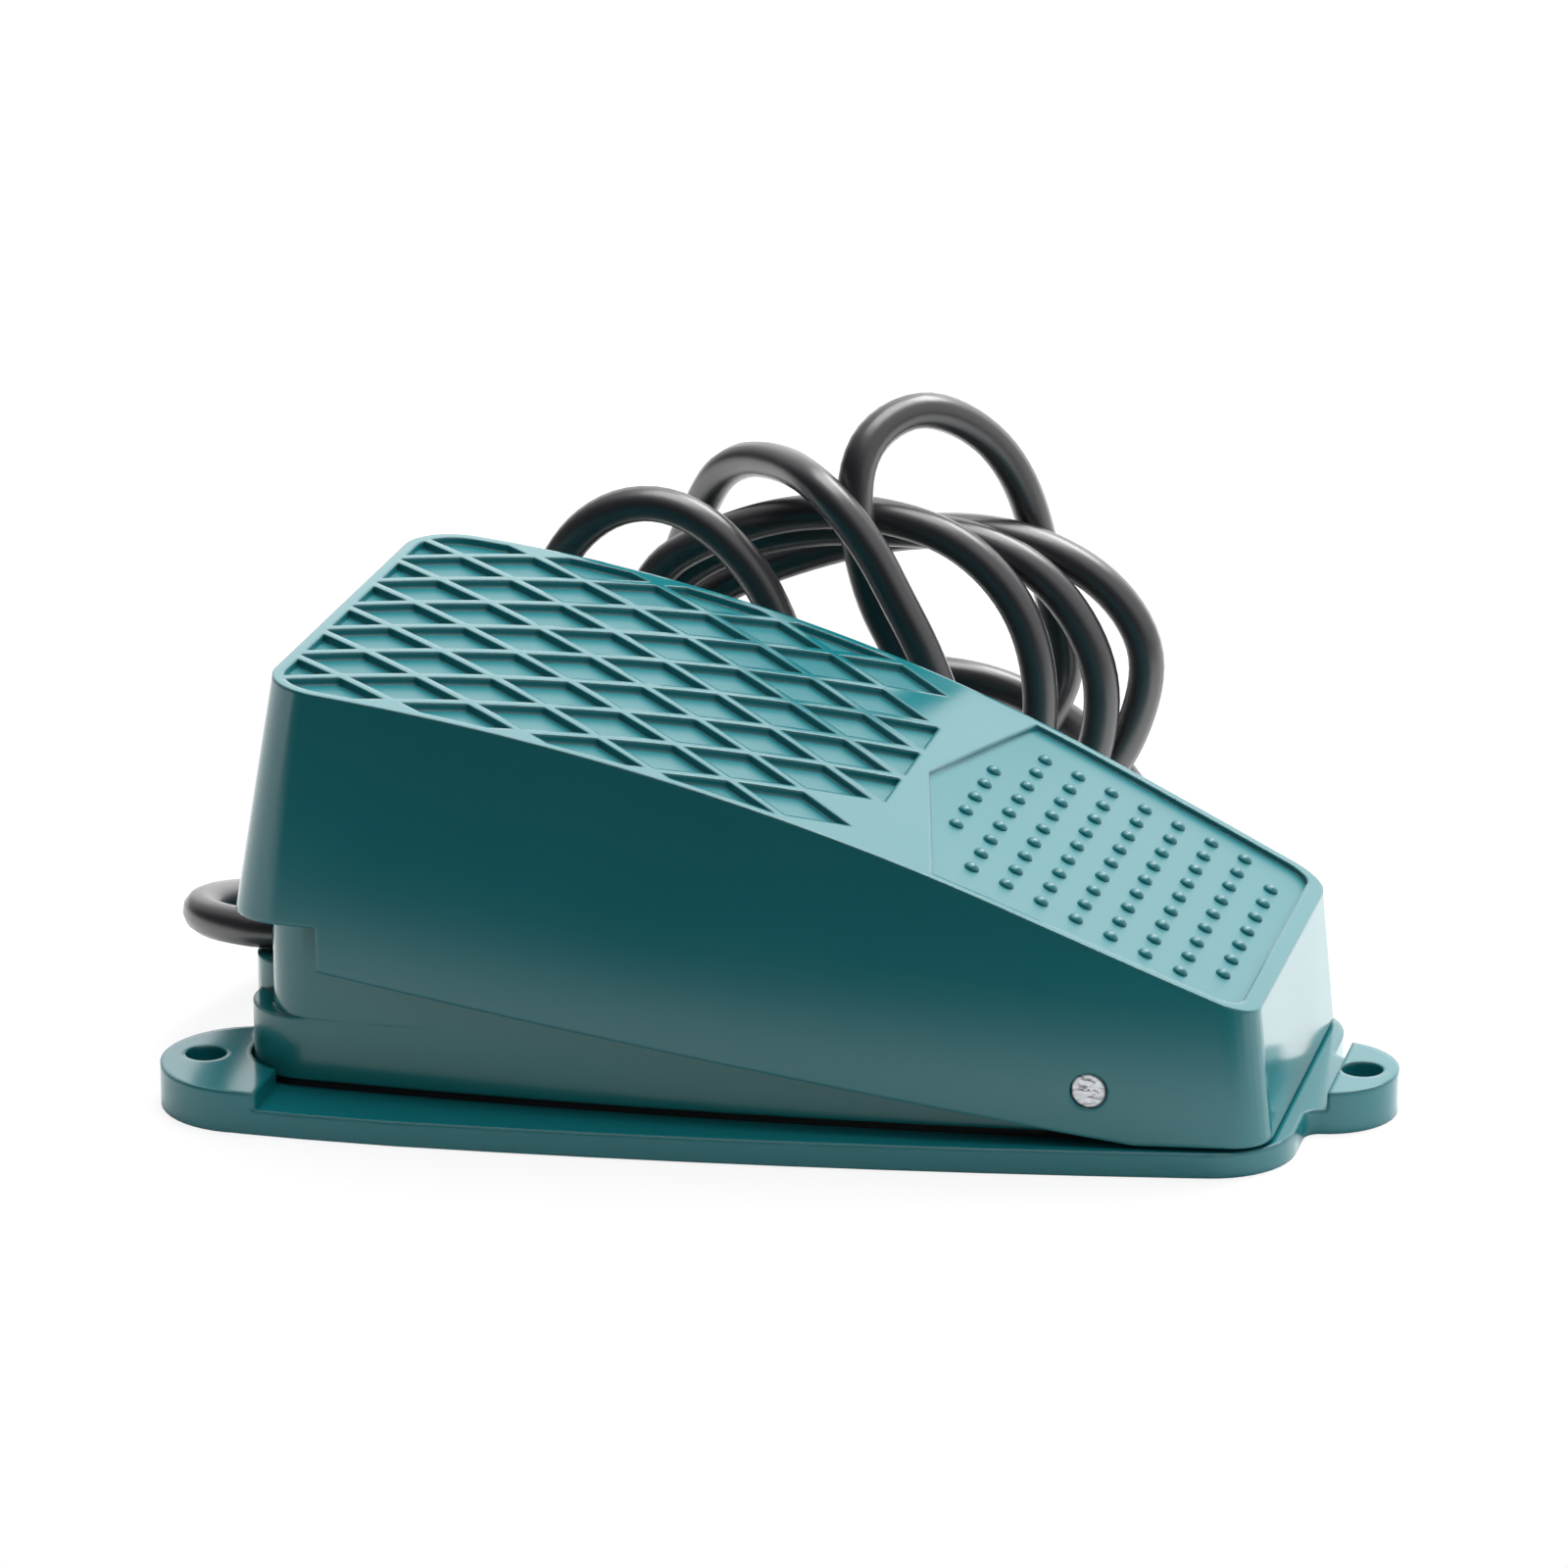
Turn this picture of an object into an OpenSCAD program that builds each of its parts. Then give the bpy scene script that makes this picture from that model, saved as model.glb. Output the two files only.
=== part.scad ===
// Industrial foot switch: a hinged pedal over a closed switch housing on a
// three-hole base plate, with a three-core supply cord.
// Frame: +X to the heel, -X to the toe and the cord, +Z up, origin under the middle.

/* [Base plate] */
// Length over the mounting ears
base_l = 200; // [198:1:210]
// Width over the two toe ears
base_w = 110; // [109:1:116]
// Thickness of the flange
flange_t = 4.2; // [3.6:0.1:5.4]
// Height of the raised pads round the mounting holes
ear_t = 7.2; // [6.4:0.1:8.4]
// Radius of the toe ears
toe_ear_r = 15.5; // [14.5:0.5:17]
// Radius of the heel ear
heel_ear_r = 12.5; // [11.5:0.5:14]
// Diameter of the mounting holes
hole_d = 7; // [5:0.5:8]
// Distance between the two toe holes
toe_hole_gap = 78; // [76:1:80]
// Distance from the toe end to the toe holes
toe_hole_in = 7; // [6.5:0.5:9]
// Distance from the heel end to the heel hole
heel_hole_in = 6; // [5.5:0.5:8]
// Lip of the flange outside the pedal at mid length
lip = 4.3; // [3.6:0.1:5.5]
// Narrowing of the lip towards the heel
lip_taper = 0.0572; // [0.04:0.002:0.06]
// Corner radius of the plate at the heel
plate_r = 14.5; // [12:0.5:18]

/* [Pedal] */
// Width of the pedal at mid length
pedal_w = 88.5; // [86:0.5:92]
// Straight part of the pedal's narrowing towards the heel
side_taper = 0.072; // [0.06:0.002:0.08]
// Curved part of the pedal's narrowing
side_curve = 0.000565; // [0.0004:0.00005:0.00065]
// Distance from the middle to the toe face, at floor level
pedal_toe = 93.5; // [92:0.5:95]
// Distance from the middle to the heel face, at floor level
pedal_heel = 84.8; // [83.5:0.5:86]
// Height of the pedal at the toe edge
pedal_h = 74.3; // [73:0.5:78]
// Radius of the crowned tread
crown_r = 380; // [370:5:400]
// Slope of the heel part of the tread
slope_a = 23.34; // [22.8:0.1:23.8]
// Where the crown meets the straight heel part
knee_x = 42.66; // [41:0.5:44]
// Lean of the toe face
toe_lean = 10.07; // [9:0.25:11]
// Lean of the heel face
heel_lean = 6; // [5:0.25:7]
// Thickness of the side walls
wall = 2.6; // [2.2:0.1:3]
// Thickness of the tread
top_t = 4; // [3.6:0.1:4.6]
// Radius of the upright toe corners
toe_r = 10; // [8:0.5:12]
// Radius of the upright heel corners
heel_r = 7; // [6:0.5:9]
// Height of the skirt at the toe
skirt_toe_z = 33.6; // [32.5:0.2:35]
// Height of the skirt behind the notch
skirt_notch_z = 26; // [25:0.5:27.5]
// Height of the skirt at the heel
skirt_heel_z = 5; // [4.8:0.1:5.6]
// Where the notch steps down
notch_x = -71.2; // [-73:0.5:-69]
// Where the sloping skirt ends
skirt_heel_x = 63; // [60:1:66]
// Depth of the stiffening ribs under the tread
rib_h = 4; // [3:0.5:5]
// Thickness of the stiffening ribs
rib_t = 2.2; // [1.8:0.1:3]

/* [Tread] */
// Length of one rhombic pocket, with its rib
cell_l = 21.7; // [20:0.1:23]
// Width of one rhombic pocket, with its rib
cell_w = 14; // [13:0.1:15]
// Width of the ribs between the pockets
cell_rib = 1.7; // [1.2:0.1:2.2]
// Depth of the pockets
cell_d = 1.3; // [1:0.1:1.8]
// Width of the smooth rim round the tread
rim = 1.9; // [1.6:0.1:2.6]
// Where the last pockets of the odd rows end
tread_end = 15.6; // [14:0.2:16]
// Depth of the dotted panel
panel_d = 1; // [0.6:0.1:1.3]
// Where the panel's pointed edge lies on the centre line
panel_x = 20.5; // [20:0.5:22]
// Spacing of the dots along the slope
dot_pitch_x = 6.25; // [6:0.05:6.4]
// Spacing of the dots across the pedal
dot_pitch_y = 7.07; // [6.6:0.05:7.2]
// Diameter of a dot
dot_d = 2.6; // [2:0.1:3]
// Height of a dot
dot_h = 0.95; // [0.7:0.05:1.2]

/* [Hinge and travel] */
// Distance of the hinge pin from the middle
hinge_x = 55.8; // [54:0.5:57]
// Height of the hinge pin
hinge_z = 14; // [13:0.5:15]
// Diameter of the hinge pin
pin_d = 6; // [5:0.5:6.5]
// Running clearance round the pin
pin_clear = 0.05; // [0.03:0.01:0.09]
// Distance that the pin's ends lie inside the pedal's sides
pin_recess = 0.3; // [0.1:0.1:0.6]
// Angle that the pedal turns when it is pressed
travel_a = 4; // [3:0.25:4.25]

/* [Housing] */
// Gap between the pedal's sides and the housing
side_gap = 0.7; // [0.6:0.1:1]
// Gap between the toe face of the pedal and the housing
toe_gap = 0.95; // [0.8:0.05:1.5]
// Gap between the heel face of the pedal and the housing
heel_gap = 2.7; // [2.2:0.1:3.5]
// Thickness of the housing walls and deck
house_t = 3; // [2.5:0.1:3.4]
// Height from the deck to the tread's edge at the toe
toe_room = 28.3; // [27.5:0.1:29.3]
// Height from the deck to the tread's underside at the heel
deck_gap = 6.4; // [6.2:0.1:7.2]
// Height of the shoulder round the toe
shoulder_z = 16.5; // [15:0.5:17.5]
// Width of the shoulder's ledge
ledge = 4.2; // [3:0.2:5]
// Thickness of the gasket on the flange
gasket_t = 1.6; // [1.2:0.1:2]
// Distance that the gasket lies inside the housing's walls
gasket_in = 1; // [0.6:0.1:1.4]

/* [Cord] */
// Diameter of the cord
cord_d = 6.4; // [5.6:0.2:6.8]
// Position of the cord's exit across the housing
cord_y = -26; // [-27:0.5:-25]
// Height of the cord's exit
cord_z = 25.1; // [24.6:0.1:26]
// Diameter of one core
core_d = 2.2; // [1.8:0.1:2.4]
// Gap on each side of the cord in the pedal's slot
slot_gap = 2.3; // [2:0.1:3]

/* [Switch] */
// Where the plunger stands
plunger_x = 34; // [33:0.5:35]
// Diameter of the plunger
plunger_d = 5; // [4:0.5:6]
// Length of the snap switch
switch_l = 27.8; // [26:0.2:29]
// Width of the snap switch
switch_w = 10.3; // [9.5:0.1:12]
// Height of the snap switch
switch_h = 15.9; // [14:0.1:16.5]
// Where the return spring stands
spring_x = -45; // [-48:1:-42]
// Diameter of the return spring
spring_d = 14; // [12:0.5:16]
// Diameter of the spring wire
wire_d = 1.4; // [1.2:0.1:1.6]
// Turns of the return spring
spring_n = 6; // [5:1:7]

/* [Hidden] */
$fn = 48;
touch = 0.3;
big = 150;

// plan of the pedal's sides and the flange's edge
function half(x) = pedal_w/2 - side_taper*x - side_curve*x*x;
function flange_half(x) = min(base_w/2, half(x) + lip - lip_taper*x + 0.00011*x*x);
function toe_x(z) = -pedal_toe + z*tan(toe_lean);
function heel_x(z) = pedal_heel - z*tan(heel_lean);

// crowned tread: an arc, then its tangent; t is the depth below the surface
crown_x = knee_x - crown_r*sin(slope_a);
toe_edge = toe_x(pedal_h);
crown_z = pedal_h - sqrt(crown_r*crown_r - pow(toe_edge - crown_x, 2));
knee_z = crown_z + crown_r*cos(slope_a);
function arc_z(x, t) = crown_z + sqrt(pow(crown_r - t, 2) - pow(x - crown_x, 2));
function line_z(x, t) = knee_z - (x - knee_x)*tan(slope_a) - t/cos(slope_a);
function surf_z(x, t) = x < knee_x - t*sin(slope_a) ? arc_z(x, t) : line_z(x, t);
function surf_a(x, t) = x < knee_x ? asin((x - crown_x)/(crown_r - t)) : slope_a;

// housing
house_in = wall + side_gap;
deck_toe_z = pedal_h - toe_room;
house_toe = toe_x(deck_toe_z) + wall + toe_gap;
house_heel = heel_x(18) - wall - heel_gap + 0.4;
shoulder_toe = house_toe - ledge;
house_z0 = flange_t + gasket_t;
deck_knee = 46;
deck_knee_z = surf_z(deck_knee, top_t) - deck_gap;
function deck_z(x) = x < deck_knee
  ? deck_toe_z + (x - house_toe)*(deck_knee_z - deck_toe_z)/(deck_knee - house_toe)
  : surf_z(x, top_t) - deck_gap;

// base plate
plate_toe = shoulder_toe - 2;
plate_heel = pedal_heel + 2.2;
toe_ear_x = -base_l/2 + toe_ear_r;
toe_ear_y = base_w/2 - toe_ear_r;
heel_ear_x = base_l/2 - heel_ear_r;
toe_hole_x = -base_l/2 + toe_hole_in;
heel_hole_x = base_l/2 - heel_hole_in;
screw_d = 4;
screw_boss = 9.6;
screw_l = 14;
small_d = 3;
small_head_d = 5.6;
small_head_h = 2;
small_hole_d = small_d + 0.2;
toe_screw_x = house_toe + 13.8;
heel_screw_x = house_heel - 11;
function screw_y(x) = half(x) - house_in - house_t - 3.6;
screw_at = [for (x = [toe_screw_x, heel_screw_x]) for (s = [-1, 1]) [x, s*screw_y(x)]];

// plunger stack, from the tread down to the snap switch
drop = (hinge_x - plunger_x)*sin(travel_a);
guide_lip = 0.6;
guide_top = deck_z(plunger_x) + guide_lip;
guide_bottom = deck_z(plunger_x) - house_t;
head_z = guide_top + drop + touch;
head_t = 1.5;
tip_z = head_z + head_t + touch;
nut_t = 2;
nut_af = 8;
nut_z = surf_z(plunger_x + nut_af*0.75, top_t) - nut_t - 0.2;
act_d = 5;
act_top = surf_z(plunger_x, top_t) + 1;
stem_z = guide_bottom - touch;
button_up = 1.6;
button_in = 2;
case_top = stem_z - touch - button_up;
case_z = case_top - switch_h;
case_x = plunger_x - 2;
button_l = 3;
button_w = 5;
bracket_t = 1.5;
bracket_l = switch_l + 0.2;
foot_l = 15;
foot_w = 12;
hole_in = 2.8;
hole_up = 2.9;
terminal_l = 7;
terminal_w = 4.8;
terminal_t = 0.8;

// stops under the toe
stop_x = -60;
stop_y = 28;
stop_d = 10;
buffer_h = 5;
stop_boss_z = surf_z(stop_x, top_t) - 4;
stop_drop = (hinge_x - stop_x + stop_d/2)*sin(travel_a)
  + (stop_boss_z - hinge_z)*(1 - cos(travel_a));
buffer_top = stop_boss_z - stop_drop - touch;
post_top = buffer_top - buffer_h;

// return spring
seat_low = deck_z(spring_x) + 1.5;
seat_high = surf_z(spring_x, top_t) - 2.5;
seat_d = spring_d + 4;

// cord, grommet and clamp
cord_r = cord_d/2;
nose_x = house_toe - 2.2;
grommet_wall = 2.3;
grommet_l = 24;
bore_r = cord_r + grommet_wall;
inner_x = nose_x + grommet_l;
clamp_x = inner_x + 2;
clamp_l = 12;
clamp_w = 24;
clamp_split = 1.7;
clamp_over = 1.6;
clamp_top = cord_r + clamp_over;
clamp_bite = 10;
inner_end = clamp_x + clamp_l + 2;
pillar_x = house_toe + 1.2;
pillar_r = 7;
pillar_top = cord_z - cord_r - 0.1;
slot_top = cord_z + cord_r + 2 + (hinge_x - toe_x(40))*sin(travel_a);
earth_x = -34;
earth_y = -33;
earth_z = flange_t + 3.8;
earth_d = 4;
washer_d = 8;
washer_t = 0.8;

// route of the cord outside the housing, from the exit to the coil
route = concat([for (k = [0:2]) [nose_x - 2.5*k, cord_y, cord_z]], [
  [-93, -25, 25], [-97.5, -22, 24.5], [-101, -17.5, 24], [-102, -10, 23], [-101, 3, 19.5],
  [-98, 19, 15], [-93.5, 35, 12], [-87, 49, 11], [-78.5, 58.5, 16], [-71.5, 61.5, 31],
  [-66, 62, 50], [-59.5, 62, 67], [-50.5, 62, 75.5], [-40.5, 62, 77], [-31.5, 62, 72.5],
  [-23.5, 62, 63.5], [-17.5, 62, 49], [-15, 63, 33], [-17.5, 69, 20], [-25, 79, 14],
  [-34, 89, 16.5], [-43, 95.5, 25], [-49, 97, 39], [-48, 95.5, 55], [-41, 90, 70.5],
  [-37.5, 87, 76], [-31, 81.5, 80.5], [-22, 72.5, 82.5], [-14.5, 64, 82], [-9, 61.5, 78],
  [-3.5, 61, 71], [1.5, 60.5, 62], [6, 60.5, 53.5], [12, 61, 36], [10.5, 63, 26],
  [3, 69.5, 18.5], [-7, 79, 15], [-17.5, 88, 15], [-26.5, 95.5, 17.5], [-28, 101, 26.5],
  [-16, 103.5, 35], [2, 103, 36.5], [14, 105, 33], [24.5, 107.5, 26], [32, 112, 15],
  [34, 120.5, 6.5], [28.5, 128.5, 4], [18.5, 129, 4], [12, 122, 6], [11.5, 112, 13],
  [16.5, 101, 25.5], [24, 95.5, 41], [22, 95, 51], [19, 95, 63.5], [15.5, 93.5, 76],
  [9.5, 89, 86], [0.5, 81, 92], [-6.5, 73, 89], [-8.5, 68.5, 82.5], [-8, 68, 73], [-5, 68, 60.5],
  [-0.5, 68, 52], [6.5, 68, 40], [13, 69, 28.5], [15, 68, 17.5], [10, 67, 8], [-2, 68.5, 4],
  [-16, 70.5, 3.5], [-30, 73, 6]]);

// coil that stands on edge behind the pedal
coil_c = [-6.8, 38.7];
coil_y = [71.8, 92];
coil_half = 11.1;
coil_r = 38.3;
coil_hole_c = [-4.4, -4.7];
coil_hole = 25;
coil_hole_half = 6.7;
tie_gap = 0.5;
tail = [
  [22, 90, 13], [9, 92, 6], [-8, 94.5, 4], [-24, 97, 3.5], [-38, 100, 3.5], [-48.5, 106, 3.5],
  [-54, 116, 3.5], [-51.5, 126.5, 3.5], [-42, 132.5, 3.5], [-30, 133, 3.5], [-20, 131.5, 3.5]];

// smooth curve through the points of a route, and a tube round it
function curve(p, i, t) =
  let (a = p[max(i - 1, 0)], b = p[i], c = p[i + 1], d = p[min(i + 2, len(p) - 1)])
  0.5*(2*b + (c - a)*t + (2*a - 5*b + 4*c - d)*t*t + (3*b - a - 3*c + d)*t*t*t);
function dense(p, m) =
  concat([for (i = [0:len(p) - 2]) for (k = [0:m - 1]) curve(p, i, k/m)], [p[len(p) - 1]]);
function unit(v) = v/norm(v);
function along(p) =
  [for (i = [0:len(p) - 1]) unit(p[min(i + 1, len(p) - 1)] - p[max(i - 1, 0)])];
function square_to(n, t) = unit(n - (n*t)*t);

module tube(p, r, sides) {
  t = along(p);
  n0 = square_to(abs(t[0].z) > 0.9 ? [1, 0, 0] : [0, 0, 1], t[0]);
  n = [for (i = 0, v = n0; i < len(p); i = i + 1, v = i < len(p) ? square_to(v, t[i]) : v) v];
  pts = [for (i = [0:len(p) - 1]) for (j = [0:sides - 1])
    let (a = 360*j/sides) p[i] + r*(cos(a)*n[i] + sin(a)*cross(t[i], n[i]))];
  last = (len(p) - 1)*sides;
  walls = [for (i = [0:len(p) - 2]) for (j = [0:sides - 1])
    let (a = i*sides + j, b = i*sides + (j + 1)%sides)
    each [[a, a + sides, b], [b, a + sides, b + sides]]];
  ends = [[for (j = [0:sides - 1]) j], [for (j = [sides - 1:-1:0]) last + j]];
  polyhedron(pts, concat(walls, ends), convexity = 10);
}

// plan outlines, rounded at the toe by r0 and at the heel by r1
module rounded(pts, r0, r1) {
  if (r0 == r1) offset(r = r0) offset(delta = -r0) polygon(pts);
  else intersection() {
    offset(r = r0) offset(delta = -r0) polygon(pts);
    translate([-2*big, -big]) square([2*big, 2*big]);
  }
  if (r0 != r1) intersection() {
    offset(r = r1) offset(delta = -r1) polygon(pts);
    translate([0, -big]) square([2*big, 2*big]);
  }
}
function sides_of(x0, x1, inset, n) = concat(
  [for (k = [0:n]) let (x = x0 + (x1 - x0)*k/n) [x, inset - half(x)]],
  [for (k = [n:-1:0]) let (x = x0 + (x1 - x0)*k/n) [x, half(x) - inset]]);
module plan(x0, x1, inset, r0, r1) {
  rounded(sides_of(x0, x1, inset, 10), r0, r1);
}

// everything below the tread's surface, lowered by t
module under(t) {
  rotate([90, 0, 0]) linear_extrude(2*big, center = true) {
    intersection() {
      translate([crown_x, crown_z]) circle(crown_r - t, $fn = 360);
      polygon([[-big, -20], [-big, big], [knee_x - t*sin(slope_a), big],
        [knee_x - t*sin(slope_a), -20]]);
    }
    polygon([[-big, -20], [-big, 0], [knee_x - t*sin(slope_a), surf_z(knee_x - t*sin(slope_a), t)],
      [big, line_z(big, t)], [big, -60], [0, -60]]);
  }
}
// everything below the housing's deck, lowered by t
module below_deck(t) {
  rotate([90, 0, 0]) linear_extrude(2*big, center = true)
    polygon([[-big, -20], [-big, deck_z(-big) - t], [deck_knee, deck_z(deck_knee) - t],
      [big, deck_z(big) - t], [big, -60], [0, -60]]);
}
// tapered block of the pedal, inset by the wall for the inside
module block(inset) {
  top = pedal_h + 6;
  hull() {
    translate([0, 0, inset > 0 ? -1 : 0]) linear_extrude(0.01)
      plan(toe_x(0) + inset, heel_x(0) - inset, inset, toe_r - inset, heel_r - inset, $fn = 32);
    translate([0, 0, top]) linear_extrude(0.01)
      plan(toe_x(top) + inset, heel_x(top) - inset, inset, toe_r - inset, heel_r - inset, $fn = 32);
  }
}

// base plate --------------------------------------------------------------
module flange_plan() {
  n = 11;
  pts = concat(
    [for (k = [0:n]) let (x = plate_toe + (plate_heel - plate_toe)*k/n) [x, -flange_half(x)]],
    [for (k = [n:-1:0]) let (x = plate_toe + (plate_heel - plate_toe)*k/n) [x, flange_half(x)]]);
  rounded(pts, 6, plate_r);
}
module toe_ear(s) {
  translate([toe_ear_x, s*toe_ear_y]) circle(toe_ear_r);
}
module heel_ear() {
  hull() {
    translate([heel_ear_x, 0]) circle(heel_ear_r);
    translate([plate_heel - 8, 0]) square([2, 2*heel_ear_r], center = true);
  }
}
module clamp_block(z0, z1, l) {
  translate([clamp_x, cord_y - clamp_w/2, z0]) cube([l, clamp_w, z1 - z0]);
}
module base_outline() {
  offset(r = -3) offset(delta = 3) {
    flange_plan();
    toe_ear(1);
    toe_ear(-1);
    heel_ear();
  }
}
module ear_pads() {
  for (s = [-1, 1]) difference() {
    intersection() {
      base_outline();
      translate([toe_ear_x, s*toe_ear_y]) circle(toe_ear_r + 0.5);
      translate([-2*big + toe_ear_x + 5, -big]) square([2*big, 2*big]);
    }
    offset(delta = 0.6) plan(shoulder_toe, house_heel, house_in, 10, 6);
    translate([pillar_x, cord_y]) circle(pillar_r + 0.6);
  }
  intersection() {
    base_outline();
    translate([heel_ear_x + 2.8, -big]) square([2*big, 2*big]);
  }
}
module base_plate() {
  color("teal") difference() {
    union() {
      linear_extrude(flange_t) base_outline();
      linear_extrude(ear_t) ear_pads();
      clamp_block(flange_t - 1, cord_z - clamp_split, clamp_l);
      translate([earth_x, earth_y, flange_t - 1]) cylinder(h = earth_z - flange_t + 1, d = washer_d + 1);
    }
    for (s = [-1, 1]) translate([toe_hole_x, s*toe_hole_gap/2, -1]) cylinder(h = 20, d = hole_d);
    translate([heel_hole_x, 0, -1]) cylinder(h = 20, d = hole_d);
    for (p = screw_at) translate([p.x, p.y, 0]) {
      translate([0, 0, -1]) cylinder(h = 20, d = screw_d + 0.3);
      translate([0, 0, -0.5]) cylinder(h = 3, r1 = screw_d + 0.6, r2 = screw_d/2 - 0.4);
    }
    translate([clamp_x - 1, cord_y, cord_z]) rotate([0, 90, 0])
      cylinder(h = clamp_l + 2, r = cord_r + 0.1);
    for (p = clamp_at()) translate([p.x, p.y, cord_z - clamp_bite - 2])
      cylinder(h = 20, d = small_d + 0.1);
    for (p = bracket_at()) translate([p.x, p.y, 1.2]) cylinder(h = 20, d = small_d + 0.1);
    translate([earth_x, earth_y, 1.6]) cylinder(h = 20, d = earth_d + 0.1);
  }
}
module base_gasket() {
  color("black") translate([0, 0, flange_t]) linear_extrude(gasket_t) difference() {
    plan(shoulder_toe + gasket_in, house_heel - gasket_in, house_in + gasket_in, 9, 5);
    plan(shoulder_toe + house_t, house_heel - house_t, house_in + house_t, 7, 4);
    for (p = screw_at) translate([p.x, p.y]) circle(d = screw_boss + 0.2);
  }
}
module base_screws() {
  color("silver") for (p = screw_at) translate([p.x, p.y, 0]) difference() {
    union() {
      translate([0, 0, 0.1]) cylinder(h = 1.8, r1 = screw_d - 0.3, r2 = screw_d/2);
      translate([0, 0, 1.8]) cylinder(h = screw_l - 1.8, d = screw_d);
    }
    cube([5, 0.9, 2.4], center = true);
    cube([0.9, 5, 2.4], center = true);
  }
}

// housing -----------------------------------------------------------------
module housing_shell() {
  color([0.17, 0.36, 0.37]) difference() {
    union() {
      intersection() {
        translate([0, 0, house_z0]) linear_extrude(60)
          plan(house_toe, house_heel, house_in, 8, 6);
        below_deck(0);
      }
      translate([0, 0, house_z0]) linear_extrude(shoulder_z - house_z0)
        plan(shoulder_toe, house_toe + 40, house_in, 10, 1);
      translate([pillar_x, cord_y, house_z0]) cylinder(h = pillar_top - house_z0, r = pillar_r);
      for (s = [-1, 1]) translate([stop_x, s*stop_y, deck_z(stop_x) - 2.5])
        cylinder(h = post_top - deck_z(stop_x) + 2.5, d = stop_d + 1);
      translate([spring_x, 0, deck_z(spring_x) - 2])
        cylinder(h = seat_low - deck_z(spring_x) + 2, d = seat_d);
      translate([spring_x, 0, seat_low - 1]) cylinder(h = 4, d = spring_d - 2*wire_d - 1);
    }
    difference() {
      intersection() {
        union() {
          translate([0, 0, house_z0 - 1]) linear_extrude(60)
            plan(house_toe + house_t, house_heel - house_t, house_in + house_t, 5, 3);
          translate([0, 0, house_z0 - 1]) linear_extrude(shoulder_z - house_t - house_z0 + 1)
            plan(shoulder_toe + house_t, house_toe + 40, house_in + house_t, 7, 1);
        }
        below_deck(house_t);
      }
      for (s = [-1, 1]) translate([hinge_x, s*(half(hinge_x) - house_in - house_t - 5), hinge_z])
        rotate([-90*s, 0, 0]) cylinder(h = 8, d = pin_d + 6);
      for (p = screw_at) translate([p.x, p.y, flange_t]) cylinder(h = screw_l, d = screw_boss);
    }
    translate([hinge_x, 0, hinge_z]) rotate([90, 0, 0])
      cylinder(h = 2*big, d = pin_d + 2*pin_clear, center = true);
    translate([nose_x - 0.1, cord_y, cord_z]) rotate([0, 90, 0])
      cylinder(h = house_t + 6, r = bore_r + 0.05);
    translate([plunger_x, 0, 0]) cylinder(h = 80, d = plunger_d + 4);
    for (p = screw_at) translate([p.x, p.y, 0]) cylinder(h = screw_l + 1, d = screw_d + 0.1);
    for (s = [-1, 1]) translate([stop_x, s*stop_y, post_top - 5]) cylinder(h = 20, d = 4.1);
  }
  color([0.17, 0.36, 0.37]) for (p = screw_at) difference() {
    translate([p.x, p.y, flange_t]) cylinder(h = gasket_t, d = screw_boss);
    translate([p.x, p.y, 0]) cylinder(h = screw_l + 1, d = screw_d + 0.1);
  }
}
module plunger_guide() {
  color("silver") translate([plunger_x, 0, 0]) difference() {
    union() {
      translate([0, 0, guide_bottom]) cylinder(h = guide_top - guide_bottom, d = plunger_d + 3.9);
    }
    cylinder(h = 80, d = plunger_d + 0.1);
  }
}
module stop_buffers() {
  color("black") for (s = [-1, 1]) translate([stop_x, s*stop_y, 0]) {
    translate([0, 0, post_top]) cylinder(h = buffer_h, d = stop_d);
    translate([0, 0, post_top - 4.5]) cylinder(h = 5, d = 4);
  }
}
module return_spring() {
  h = seat_high - seat_low - 0.2;
  r = (spring_d - wire_d)/2;
  m = 14;
  n = spring_n*m;
  rise = [for (i = [0:n]) let (t = i/m)
    t < 1 ? wire_d*t : t > spring_n - 1 ? h - wire_d - wire_d*(spring_n - t)
    : wire_d + (h - 3*wire_d)*(t - 1)/(spring_n - 2)];
  color("silver") translate([spring_x, 0, seat_low + 0.1 + wire_d/2])
    tube([for (i = [0:n]) [r*cos(360*i/m), r*sin(360*i/m), rise[i]]], wire_d/2, 8);
}

// pedal -------------------------------------------------------------------
module pocket(x, y) {
  a = cell_l/2;
  b = cell_w/2;
  s = 1 - cell_rib/2*sqrt(a*a + b*b)/(a*b);
  translate([x, y]) polygon([[-a*s, 0], [0, -b*s], [a*s, 0], [0, b*s]]);
}
module tread_pockets() {
  a = cell_l/2;
  b = cell_w/2;
  s = 1 - cell_rib/2*sqrt(a*a + b*b)/(a*b);
  x0 = tread_end - a*s;
  intersection() {
    for (i = [-9:1]) for (j = [-6:6])
      if ((i + j)%2 != 0 && (i < 1 || abs(j) < 3)) pocket(x0 + i*a, j*b);
    plan(toe_edge + rim, knee_x + 20, rim, toe_r - rim, toe_r - rim);
    translate([-big, -big]) square([big + tread_end + 2, 2*big]);
  }
}
module panel_plan() {
  intersection() {
    plan(0, heel_x(28) - 2.7, rim, 1, heel_r - 2);
    polygon([[panel_x, 0], [panel_x + 0.2436*60, 60], [big, 60], [big, -60],
      [panel_x + 0.2436*60, -60]]);
  }
}
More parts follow.
